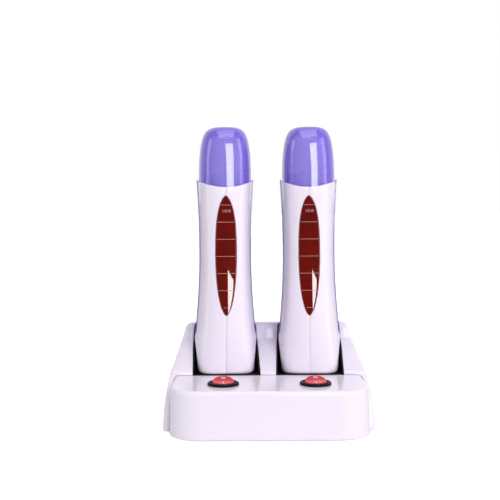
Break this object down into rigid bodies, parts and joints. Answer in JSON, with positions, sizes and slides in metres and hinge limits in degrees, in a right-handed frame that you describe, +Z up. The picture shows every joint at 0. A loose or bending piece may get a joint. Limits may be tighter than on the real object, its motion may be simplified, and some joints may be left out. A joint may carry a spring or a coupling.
{
  "type": "wax warmer",
  "caption": "Mains dock with lift-off roll-on wax heaters, each with a level window, a clear cap, a hinged rear door and a wax cartridge.",
  "frame": {"origin": "on the floor, below the centre of the whole object's bounding box", "axes": "+Z up, -Y towards the front with the switches, +X to the object's right seen from the front"},
  "size_m": [0.156, 0.1404, 0.2254],
  "materials": {
    "white_plastic": "glossy moulded",
    "purple_clear": "clear tinted, glossy",
    "window_red": "glossy, tinted",
    "black_plastic": "satin",
    "rocker_red": "glossy",
    "cartridge_plastic": "satin",
    "roller_plastic": "smooth",
    "wax": "set wax",
    "cradle_aluminium": "bent sheet",
    "heater_ceramic": "matt",
    "thermostat_body": "moulded",
    "contact_brass": "bright",
    "steel": "plated",
    "rubber": "soft",
    "plate_plastic": "textured",
    "block_plastic": "moulded"
  },
  "bodies": {
    "base": {"deck_housing": "white_plastic", "saddle_housing": "white_plastic", "bottom_plate": "plate_plastic", "rubber_feet": "rubber", "base_screws": "steel", "power_inlet": "black_plastic", "inlet_pins": "steel", "terminal_block": "block_plastic", "left_bay_liner": "black_plastic", "right_bay_liner": "black_plastic", "left_dock_contacts": "contact_brass", "right_dock_contacts": "contact_brass", "left_switch_body": "black_plastic", "right_switch_body": "black_plastic", "left_switch_terminals": "contact_brass", "right_switch_terminals": "contact_brass"},
    "left_handset": {"left_shell_outer": "white_plastic", "left_shell_inner": "white_plastic", "left_window": "window_red", "left_hinge_pin": "steel", "left_cartridge": "cartridge_plastic", "left_wax": "wax", "left_roller_frame": "cartridge_plastic", "left_cradle": "cradle_aluminium", "left_heater": "heater_ceramic", "left_thermostat": "thermostat_body", "left_foot_plug": "black_plastic", "left_contact_pads": "contact_brass", "left_screws": "steel"},
    "left_door": {"left_door": "purple_clear"},
    "left_cap": {"left_cap": "purple_clear"},
    "left_roller": {"left_roller": "roller_plastic"},
    "left_rocker": {"left_rocker": "rocker_red"},
    "right_handset": {"right_shell_outer": "white_plastic", "right_shell_inner": "white_plastic", "right_window": "window_red", "right_hinge_pin": "steel", "right_cartridge": "cartridge_plastic", "right_wax": "wax", "right_roller_frame": "cartridge_plastic", "right_cradle": "cradle_aluminium", "right_heater": "heater_ceramic", "right_thermostat": "thermostat_body", "right_foot_plug": "black_plastic", "right_contact_pads": "contact_brass", "right_screws": "steel"},
    "right_door": {"right_door": "purple_clear"},
    "right_cap": {"right_cap": "purple_clear"},
    "right_roller": {"right_roller": "roller_plastic"},
    "right_rocker": {"right_rocker": "rocker_red"}
  },
  "joints": [
    {"name": "left_handset_lift", "type": "slide", "parent": "base", "child": "left_handset", "axis": [0, 0.0872, 0.9962], "range_m": [0, 0.09]},
    {"name": "left_cap_pull", "type": "slide", "parent": "left_handset", "child": "left_cap", "axis": [0, 0.0872, 0.9962], "range_m": [0, 0.062]},
    {"name": "left_door_hinge", "type": "hinge", "parent": "left_handset", "child": "left_door", "pos_m": [-0.03449, 0.05679, 0.06131], "axis": [-0.999, -0.0435, 0.0038], "range_deg": [0, 60]},
    {"name": "left_roller_spin", "type": "hinge", "parent": "left_handset", "child": "left_roller", "pos_m": [-0.03322, 0.03995, 0.20242], "axis": [-0.0436, 0.9952, -0.0871], "continuous": true},
    {"name": "left_rocker_tilt", "type": "hinge", "parent": "base", "child": "left_rocker", "pos_m": [-0.0336, -0.04268, 0.0344], "axis": [-1, 0, 0], "range_deg": [0, 22]},
    {"name": "right_handset_lift", "type": "slide", "parent": "base", "child": "right_handset", "axis": [0, 0.0872, 0.9962], "range_m": [0, 0.09]},
    {"name": "right_cap_pull", "type": "slide", "parent": "right_handset", "child": "right_cap", "axis": [0, 0.0872, 0.9962], "range_m": [0, 0.062]},
    {"name": "right_door_hinge", "type": "hinge", "parent": "right_handset", "child": "right_door", "pos_m": [0.03449, 0.05679, 0.06131], "axis": [-0.999, 0.0435, -0.0038], "range_deg": [0, 60]},
    {"name": "right_roller_spin", "type": "hinge", "parent": "right_handset", "child": "right_roller", "pos_m": [0.03322, 0.03995, 0.20242], "axis": [0.0436, 0.9952, -0.0871], "continuous": true},
    {"name": "right_rocker_tilt", "type": "hinge", "parent": "base", "child": "right_rocker", "pos_m": [0.0336, -0.04268, 0.0344], "axis": [-1, 0, 0], "range_deg": [0, 22]}
  ]
}
